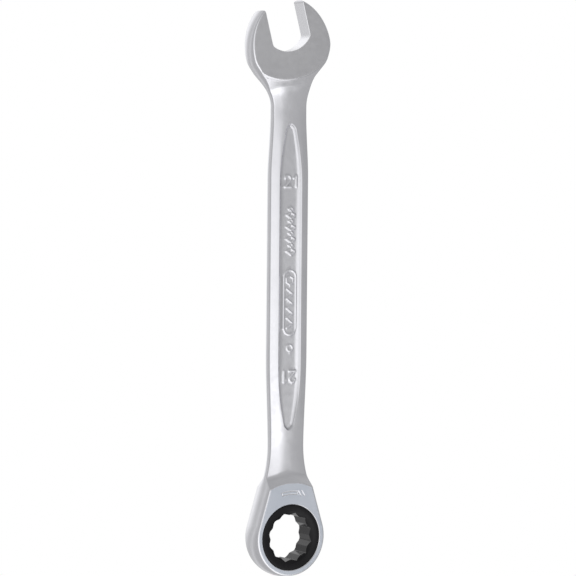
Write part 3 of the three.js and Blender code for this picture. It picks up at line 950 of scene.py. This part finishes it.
body = forged_body()
for cutter in (mouth_cutter(), bore_cutter(), *pocket_cutters()):
    combine(body, cutter, "DIFFERENCE")
choose_finishes(body.data)
finished(body, "forged_wrench", "wrench",
         (satin_chrome, blasted_chrome, ground_steel, broached_steel), "wrench_body")
gear = ratchet_gear()
choose_socket(gear.data)
finished(gear, "twelve_point_gear", "gear", (black_oxide, worn_oxide),
         "ratchet_gear")
finished(retaining_clip(), "snap_ring", "wrench", (spring_steel,),
         "retaining_clip")

spring = placed(pawl_spring(), "pawl_coil", (spring_steel,), sharp=40)
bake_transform(spring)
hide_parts("pawl_spring")

for node in ("pawl", "pawl_plunger"):
    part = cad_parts[node]
    for place in part.material_slots:
        place.link = "OBJECT"
        place.material = hard_steel


# ---------------------------------------------------------------- floor, light and camera

ROOM_TOP = 1.25
# Each light is an axis, and (place, brightness) stops from straight away from it to straight at it.
KEY_AXIS = (-0.42, -0.40, 0.815)    # towards the broad panel overhead
KEY = ((0.0, 0.50), (0.36, 0.47), (0.48, 0.44), (0.6, 0.48), (0.765, 0.52), (0.80, 0.60), (0.84, 0.86),
       (0.885, 0.94), (0.95, 0.94), (0.965, 1.20), (1.0, 1.28))
WASH_AXIS = (-0.10, -0.55, 0.83)    # towards its brightest stretch, over the ring
WASH = ((0.0, 0.0), (0.905, 0.0), (0.912, 0.80), (0.921, 0.90), (0.928, 1.08), (0.936, 1.34),
        (0.944, 1.45), (0.954, 1.45), (0.964, 0.80), (1.0, 0.80))
LOW_AXIS = (0.3, -0.92, 0.22)       # towards a low panel past the ring's end
LOW = ((0.0, 0.0), (0.91, 0.0), (0.96, 0.75), (0.98, 1.2), (1.0, 1.3))
SPOT_AXIS = (0.22, -0.34, 0.92)     # towards a small panel overhead
SPOT = ((0.0, 0.0), (0.970, 0.0), (0.984, 1.45), (1.0, 1.50))
TABLE_AXIS = (0.0, 0.3, -0.954)     # towards the brightest part of the table
TABLE = ((0.0, 0.62), (0.70, 0.50), (0.76, 0.52), (0.80, 0.74), (0.825, 0.74), (0.86, 0.57),
         (0.91, 0.60), (0.95, 0.80), (0.98, 1.06), (1.0, 1.1))


def white_to_camera(nodes, links, shader, white, output):
    """The camera sees plain white where the object's own light and reflections see a shader."""
    mix = nodes.new("ShaderNodeMixShader")
    links.new(nodes.new("ShaderNodeLightPath").outputs["Is Camera Ray"], mix.inputs["Fac"])
    links.new(shader, mix.inputs[1])
    links.new(white, mix.inputs[2])
    links.new(mix.outputs["Shader"], output)


def floor():
    """A pale plane that the ring's pad and the jaw's tips rest on, a little tilted to the mid-plane."""
    half = 3.0
    mesh = bpy.data.meshes.new("floor")
    mesh.from_pydata([(-half, -half, 0), (half, -half, 0), (half, half, 0), (-half, half, 0)], [],
                     [(0, 1, 2, 3)])
    made = bpy.data.objects.new("floor", mesh)
    bpy.context.scene.collection.objects.link(made)
    tips = JAW_CENTRE[1] + JAW_AHEAD - PAD_RADIUS
    made.location = Vector(RING_CENTRE) + Vector((0, PAD_RADIUS, -HEAD_HALF - 0.05)) * MM
    made.rotation_euler = (math.atan2(HEAD_HALF - JAW_HALF, tips), 0, 0)
    material = bpy.data.materials.new("pale_floor")
    material.use_nodes = True
    nodes, links = material.node_tree.nodes, material.node_tree.links
    clear = nodes.new("ShaderNodeBsdfTransparent")
    white = nodes.new("ShaderNodeEmission")
    white_to_camera(nodes, links, clear.outputs["BSDF"], white.outputs["Emission"],
                    nodes["Material Output"].inputs["Surface"])
    mesh.materials.append(material)


def ramp(nodes, links, value, stops):
    """A grey ramp through (place, brightness) stops."""
    made = nodes.new("ShaderNodeValToRGB")
    elements = made.color_ramp.elements
    for at, _ in stops[1:-1]:
        elements.new(at)
    for element, (at, bright) in zip(elements, stops):
        element.position = at
        element.color = (bright / ROOM_TOP, bright / ROOM_TOP, bright / ROOM_TOP, 1)
    links.new(value, made.inputs["Fac"])
    return made.outputs["Color"]


def towards(nodes, links, place, axis):
    """0 straight away from an axis, 1 straight towards it."""
    dot = nodes.new("ShaderNodeVectorMath")
    dot.operation = "DOT_PRODUCT"
    dot.inputs[1].default_value = Vector(axis).normalized()
    links.new(place, dot.inputs[0])
    return spread(nodes, links, dot.outputs["Value"], 0, 1, -1, 1)


def room():
    """A soft studio: a broad bright panel overhead with two brighter stretches, a low one past the
    ring, grey round them, and below it the table, which is brightest almost straight down."""
    world = bpy.data.worlds.new("studio")
    bpy.context.scene.world = world
    world.use_nodes = True
    nodes, links = world.node_tree.nodes, world.node_tree.links
    place = nodes.new("ShaderNodeTexCoord").outputs["Generated"]
    lights = ((KEY_AXIS, KEY), (WASH_AXIS, WASH), (LOW_AXIS, LOW), (SPOT_AXIS, SPOT),
              (TABLE_AXIS, TABLE))
    walls, *panels, table = (ramp(nodes, links, towards(nodes, links, place, axis), stops)
                             for axis, stops in lights)
    for panel in panels:
        walls = mixed(nodes, links, None, walls, panel, "LIGHTEN")
    split = nodes.new("ShaderNodeSeparateXYZ")
    links.new(place, split.inputs["Vector"])
    below = spread(nodes, links, split.outputs["Z"], 0, 1, -0.02, -0.12)
    light = nodes["Background"]
    light.inputs["Strength"].default_value = ROOM_TOP
    links.new(mixed(nodes, links, below, walls, table), light.inputs["Color"])
    white = nodes.new("ShaderNodeBackground")
    white.inputs["Color"].default_value = (1, 1, 1, 1)
    white_to_camera(nodes, links, light.outputs["Background"], white.outputs["Background"],
                    nodes["World Output"].inputs["Surface"])


YAW, PITCH, ROLL = (math.radians(a) for a in (31.006, 2.97, -0.517))
CAMERA_OFFSET = Vector((1.64, 120.64, 1265.13))        # in the camera's own axes, from the ring
LENS, SENSOR = 162.5, 36.0


def camera():
    data = bpy.data.cameras.new("camera")
    data.lens, data.sensor_width = LENS, SENSOR
    data.clip_start, data.clip_end = 0.05, 20
    made = bpy.data.objects.new("camera", data)
    bpy.context.scene.collection.objects.link(made)
    turn = Matrix.Rotation(ROLL, 3, "Z") @ Matrix.Rotation(PITCH, 3, "X") @ Matrix.Rotation(YAW, 3, "Y")
    facing = turn.transposed()
    where = Vector(RING_CENTRE) + facing @ CAMERA_OFFSET * MM
    made.matrix_world = Matrix.Translation(where) @ facing.to_4x4()
    bpy.context.scene.camera = made


floor()
room()
camera()
bpy.context.scene.view_settings.view_transform = "Standard"
